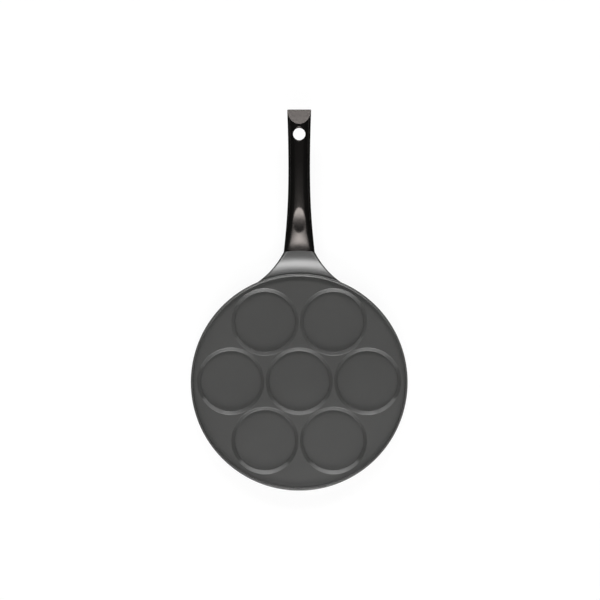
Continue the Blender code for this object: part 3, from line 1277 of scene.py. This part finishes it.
@dataclass(frozen=True)
class HangingHole:
    """The hole near the tip, with rounded mouths."""

    radius: float = 0.0073
    from_tip: float = 0.0297
    mouth: float = 0.0014
    mouth_start: float = 100.0
    mouth_steps: int = 8
    margin: float = 0.0040
    lift: float = 0.0008
    steps: int = 72

    def cutter(self, line: HandleLine) -> Piece:
        """What the hole takes away.

        Args:
            line: The handle's laws.

        Returns:
            The cutter, in its place.
        """
        out = line.length - self.from_tip
        half = (line.crown(out) + line.belly(out)) * math.cos(line.slope(out)) / 2
        middle = (self.radius + self.mouth, half - self.mouth)
        mouth = arc(middle, (self.mouth, self.mouth), self.mouth_start, 180, self.mouth_steps)
        wide, level = mouth[0][0] + self.margin, half + self.lift
        upper = [(wide, level + self.margin), (wide, level), *mouth]
        lower = [(radius, -height) for radius, height in reversed(upper)]
        hole = turn_on_lathe("hanging_hole", upper + lower, self.steps)
        return put(hole, line.below_top(out, half), line.slope(out))


@dataclass(frozen=True)
class ScrewSeat:
    """The socket for the tang, and the seat and holes for the screw."""

    wall: float = 0.0020
    end_clearance: float = 0.0010
    hole_clearance: float = 0.0004
    washer_radius: float = 0.0050
    side_clearance: float = 0.0004
    sunk: float = 0.0180
    sunk_steps: int = 64

    def level(self, tang: Tang) -> float:
        """Height of the washers' seat in the tang's axes."""
        return -tang.thickness / 2 - tang.clearance - self.wall

    def cutters(self, tang: Tang) -> list[Piece]:
        """What the socket, the screw's hole and the sunk seat take away.

        Args:
            tang: The tongue.

        Returns:
            The three cutters, in their places.
        """
        gap = tang.clearance
        socket = rounded_bar(
            "socket", tang.width + 2 * gap, tang.thickness + 2 * gap, -tang.root,
            tang.length + self.end_clearance, tang.edge + gap,
        )
        seat = self.level(tang)
        small, large = tang.screw_radius + self.hole_clearance, self.washer_radius + self.side_clearance
        bore = turn_on_lathe("screw_hole", [(small, seat - tang.thickness), (small, 0)], tang.hole_steps)
        sunk = turn_on_lathe("counterbore", [(large, seat - self.sunk), (large, seat)], self.sunk_steps)
        return [tang.placed(socket), tang.placed(bore, tang.screw_at), tang.placed(sunk, tang.screw_at)]


@dataclass
class Handle:
    """The moulded handle: grip, thumb rest, end flat, hanging hole and socket."""

    line: HandleLine = field(default_factory=HandleLine)
    tang: Tang = field(default_factory=Tang)
    thumb: ThumbRest = field(default_factory=ThumbRest)
    end: EndFlat = field(default_factory=EndFlat)
    hole: HangingHole = field(default_factory=HangingHole)
    seat: ScrewSeat = field(default_factory=ScrewSeat)
    rows: int = 80
    sides: int = 98
    flats: int = 6
    tip_round: float = 0.0012
    tip_steps: int = 6
    crease: float = 30.0

    def build(self) -> Piece:
        """Models the handle.

        Returns:
            The closed piece.
        """
        joint, tip = self.line.bracket.joint, self.line.length - self.tip_round
        loft = Loft("handle", self.line.section(joint.gap), self.sides, self.flats)
        loft.bow(joint.radius + joint.gap)
        run = tip - joint.gap
        for i in range(1, self.rows + 1):
            loft.draw_out(self.line.section(joint.gap + run * i / self.rows))
        edge = arc((tip, self.tip_round), (self.tip_round, self.tip_round), -90, 0, self.tip_steps)
        for out, inset in edge[1:]:
            loft.draw_out(self.line.section(out, inset))
        handle = loft.finish()
        self.thumb.carve(handle, self.line)
        self.end.cut(handle, self.line)
        join_form(handle, self.hole.cutter(self.line), Cut.REMOVE)
        for cutter in self.seat.cutters(self.tang):
            join_form(handle, cutter, Cut.REMOVE)
        return handle

    def dress(self, handle: Piece, finish: PhenolicPlastic) -> None:
        """Shades the modelled handle and gives it its finish."""
        smooth(handle, self.crease)
        hand_over(handle, (finish.make(),), "handle")


@dataclass
class Fasteners:
    """The screw and its washers, from below into the tang."""

    tang: Tang = field(default_factory=Tang)
    seat: ScrewSeat = field(default_factory=ScrewSeat)
    flat_thickness: float = 0.0008
    spring_thickness: float = 0.0010
    head_radius: float = 0.0045
    head_height: float = 0.0024
    head_round: float = 0.0008
    length: float = 0.0100
    chamfer: float = 0.0005
    recess_span: float = 0.0046
    recess_width: float = 0.0011
    recess_depth: float = 0.0013
    recess_edge: float = 0.0002
    head_steps: int = 8
    steps: int = 64

    def build(self) -> Piece:
        """Models the screw with its cross recess.

        Returns:
            The closed piece.
        """
        # Seat, flat washer, spring washer and head lie a gap apart
        gaps = 3 * self.tang.clearance
        under_head = self.seat.level(self.tang) - self.flat_thickness - self.spring_thickness - gaps
        low = under_head - self.head_height
        shank, tip = self.tang.screw_radius, under_head + self.length
        middle = (self.head_radius - self.head_round, low + self.head_round)
        crown = arc(middle, (self.head_round, self.head_round), -90, 0, self.head_steps)
        end = [(shank, tip - self.chamfer), (shank - self.chamfer, tip)]
        outline = [*crown, (self.head_radius, under_head), (shank, under_head), *end]
        screw = turn_on_lathe("screw", outline, self.steps)
        span, width, deep = self.recess_span, self.recess_width, 2 * self.recess_depth
        for across, along in ((span, width), (width, span)):
            slot = rounded_bar("recess", across, deep, -along / 2, along / 2, self.recess_edge)
            join_form(screw, put(slot, (0, 0, low), 0), Cut.REMOVE)
        return self.tang.placed(screw, self.tang.screw_at)

    def dress(self, screw: Piece, finish: StainlessSteel) -> None:
        """Shades the screw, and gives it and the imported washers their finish.

        Args:
            screw: The modelled screw.
            finish: Finish of the screw and the washers.
        """
        smooth(screw)
        steel = finish.make()
        hand_over(screw, (steel,), "handle_screw")
        for name in ("flat_washer", "spring_washer"):
            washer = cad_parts[name]
            washer.data.materials.clear()
            washer.data.materials.append(steel)
            LOG.info("%s: packed solid in %s", name, steel.name)


# The studio


@dataclass(frozen=True)
class Softbox:
    """A long lamp across the picture, above the pan or beyond it.

    Zenith is its angle from straight up, and side is 1 towards the handle and -1 away from it. Spread is
    the angle that it fills as seen from the pan, and fall the angle over which it shines, all in degrees.
    """

    name: str
    zenith: float
    side: int
    radiance: float
    spread: float
    width: float
    fall: float = 80.0
    distance: float = 1.7
    aim: Place = (0, 0.05, 0)

    def hang(self) -> None:
        """Hangs the lamp and points it at the pan."""
        angle = math.radians(self.zenith)
        lamp = bpy.data.lights.new(self.name, "AREA")
        lamp.shape = "RECTANGLE"
        lamp.size = self.width
        lamp.size_y = 2 * self.distance * math.tan(math.radians(self.spread) / 2)
        half = math.radians(self.fall) / 2
        lamp.spread = 2 * half
        lamp.energy = self.radiance * math.pi * lamp.size * lamp.size_y * (1 - half / math.tan(half))
        holder = bpy.data.objects.new(self.name, lamp)
        bpy.context.scene.collection.objects.link(holder)
        toward = Vector((0, self.side * math.sin(angle), math.cos(angle)))
        holder.location = Vector(self.aim) + toward * self.distance
        holder.rotation_euler = toward.to_track_quat("Z", "Y").to_euler()
        holder.visible_camera = False


@dataclass
class Studio:
    """Floor, lamps, surroundings and camera."""

    camera_place: Place = (0.00094, 0.09864, 1.41600)
    lens: float = 70.0
    sensor: float = 36.0
    nearest: float = 0.05
    floor_size: float = 8.0
    floor_grain: float = 60.0
    floor_glow: float = 0.88
    floor_light: float = 0.14
    floor_dark: float = 0.1372
    floor_roughness: float = 0.9
    lamps: tuple[Softbox, ...] = (
        Softbox("strip_main", 29.6, -1, 8.1, 6.8, 2.8),
        Softbox("strip_upper", 24.5, -1, 3.6, 4.0, 2.8),
        Softbox("strip_top", 19.5, -1, 0.55, 6.0, 2.8),
        Softbox("strip_crown", 11.5, -1, 0.08, 9.0, 2.8),
        Softbox("side_near", 62.5, -1, 11.7, 14.0, 6.6, distance=4.0),
        Softbox("side_far", 53.0, 1, 14.7, 12.0, 3.0, distance=1.8),
        Softbox("low_far", 65.0, 1, 1.25, 9.0, 2.8),
        Softbox("horizon_near", 84.6, -1, 7.6, 11.0, 2.8),
        Softbox("horizon_far", 83.5, 1, 1.3, 11.0, 2.8),
    )
    horizon: float = 1.0
    overhead: float = 0.03
    dim: float = 0.04
    fade_low: float = 0.25
    fade_high: float = 0.45
    flag_reach: float = 0.75
    flag_height: float = 1.0
    flag_length: float = 1.6
    flag_lift: float = 0.0006
    flag_ahead: float = 0.1
    flag_weave: float = 400.0
    flag_dark: float = 0.012
    flag_light: float = 0.020
    flag_roughness: float = 0.95

    def build(self) -> None:
        """Sets everything up."""
        self.lay_floor()
        self.paint_surroundings()
        for lamp in self.lamps:
            lamp.hang()
        self.stand_flags()
        self.place_camera()

    def lay_floor(self) -> None:
        """Lays a plain pale floor that keeps the pan's shadow."""
        clear_selection()
        bpy.ops.mesh.primitive_plane_add(size=self.floor_size, location=(0, 0, 0))
        floor = settle("floor")
        bench = NodeBench("floor_paper")
        tree = bench.tree
        grain = bench.span(bench.noise(self.floor_grain, 2), 0, 1)
        bench.feed(Base_Color=bench.blend(grain, (self.floor_light,) * 3, (self.floor_dark,) * 3))
        bench.fix({"Roughness": self.floor_roughness, "Specular IOR Level": 0.0})
        strength = self.seen(bench, self.floor_glow)
        glow = bench.add("ShaderNodeEmission", {"Color": (1, 1, 1, 1), "Strength": strength})
        both = bench.add("ShaderNodeAddShader")
        tree.links.new(bench.shader.outputs[0], both.inputs[0])
        tree.links.new(glow.outputs[0], both.inputs[1])
        tree.links.new(both.outputs[0], tree.nodes["Material Output"].inputs["Surface"])
        floor.data.materials.append(bench.material)

    def stand_flags(self) -> None:
        """Stands black cloths at both sides and lays one below, so that the pan doesn't mirror the paper."""
        bench = NodeBench("black_cloth")
        weave = bench.span(bench.noise(self.flag_weave, 2), 0, 1)
        bench.feed(Base_Color=bench.blend(weave, (self.flag_dark,) * 3, (self.flag_light,) * 3))
        bench.fix({"Roughness": self.flag_roughness, "Specular IOR Level": 0.0})
        middle, reach = self.flag_height / 2, self.flag_reach
        for name, place, turn, width in (
            ("flag_left", (-reach, 0, middle), 90, self.flag_height),
            ("flag_right", (reach, 0, middle), 90, self.flag_height),
            ("flag_below", (0, self.flag_ahead, self.flag_lift), 0, 2 * reach),
        ):
            clear_selection()
            bpy.ops.mesh.primitive_plane_add(
                size=1, location=place, rotation=(0, math.radians(turn), 0),
                scale=(width, self.flag_length, 1),
            )
            cloth = settle(name)
            cloth.data.materials.append(bench.material)
            cloth.visible_camera = False
            cloth.visible_diffuse = False
            cloth.visible_shadow = False
            cloth.visible_transmission = False

    @staticmethod
    def seen(bench: NodeBench, strength: float) -> Socket:
        """A strength for rays from the camera, and those that gloss and glass send on.

        Args:
            bench: The node tree.
            strength: The strength for those rays.

        Returns:
            The socket of the strength.
        """
        rays = bench.add("ShaderNodeLightPath").outputs
        first = bench.work_out("ADD", rays["Is Camera Ray"], rays["Is Glossy Ray"])
        every = bench.work_out("ADD", first, rays["Is Transmission Ray"], clamp=True)
        return bench.work_out("MULTIPLY", every, strength)

    def paint_surroundings(self) -> None:
        """Makes the surroundings white at the horizon and dark overhead."""
        world = bpy.data.worlds.new("studio")
        bpy.context.scene.world = world
        world.use_nodes = True
        nodes, links = world.node_tree.nodes, world.node_tree.links
        place = nodes.new("ShaderNodeTexCoord")
        parts = nodes.new("ShaderNodeSeparateXYZ")
        links.new(place.outputs["Generated"], parts.inputs[0])
        fade = nodes.new("ShaderNodeMapRange")
        fade.interpolation_type = "SMOOTHSTEP"
        links.new(parts.outputs["Z"], fade.inputs["Value"])
        for name, value in (
            ("From Min", self.fade_low), ("From Max", self.fade_high),
            ("To Min", self.horizon), ("To Max", self.overhead),
        ):
            fade.inputs[name].default_value = value
        path = nodes.new("ShaderNodeLightPath")
        unseen = nodes.new("ShaderNodeMix")
        links.new(path.outputs["Is Diffuse Ray"], unseen.inputs["Factor"])
        links.new(fade.outputs["Result"], unseen.inputs["A"])
        unseen.inputs["B"].default_value = self.dim
        links.new(unseen.outputs["Result"], nodes["Background"].inputs["Strength"])
        nodes["Background"].inputs["Color"].default_value = (1, 1, 1, 1)

    def place_camera(self) -> None:
        """Hangs the camera straight above, looking down."""
        lens = bpy.data.cameras.new("camera")
        lens.lens = self.lens
        lens.sensor_width = self.sensor
        lens.clip_start = self.nearest
        camera = bpy.data.objects.new("camera", lens)
        camera.location = self.camera_place
        bpy.context.scene.collection.objects.link(camera)
        bpy.context.scene.camera = camera
        bpy.context.scene.view_settings.view_transform = "Standard"


def main() -> None:
    """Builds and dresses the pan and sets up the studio."""
    logging.basicConfig(level=logging.INFO, format="%(name)s: %(message)s")
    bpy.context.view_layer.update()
    casting = PanBody()
    casting.dress(casting.build(), NonStickCoating(), TurnedAluminium())
    grip = Handle()
    grip.dress(grip.build(), PhenolicPlastic())
    fixing = Fasteners()
    fixing.dress(fixing.build(), StainlessSteel())
    Studio().build()


if __name__ == "__main__":
    main()
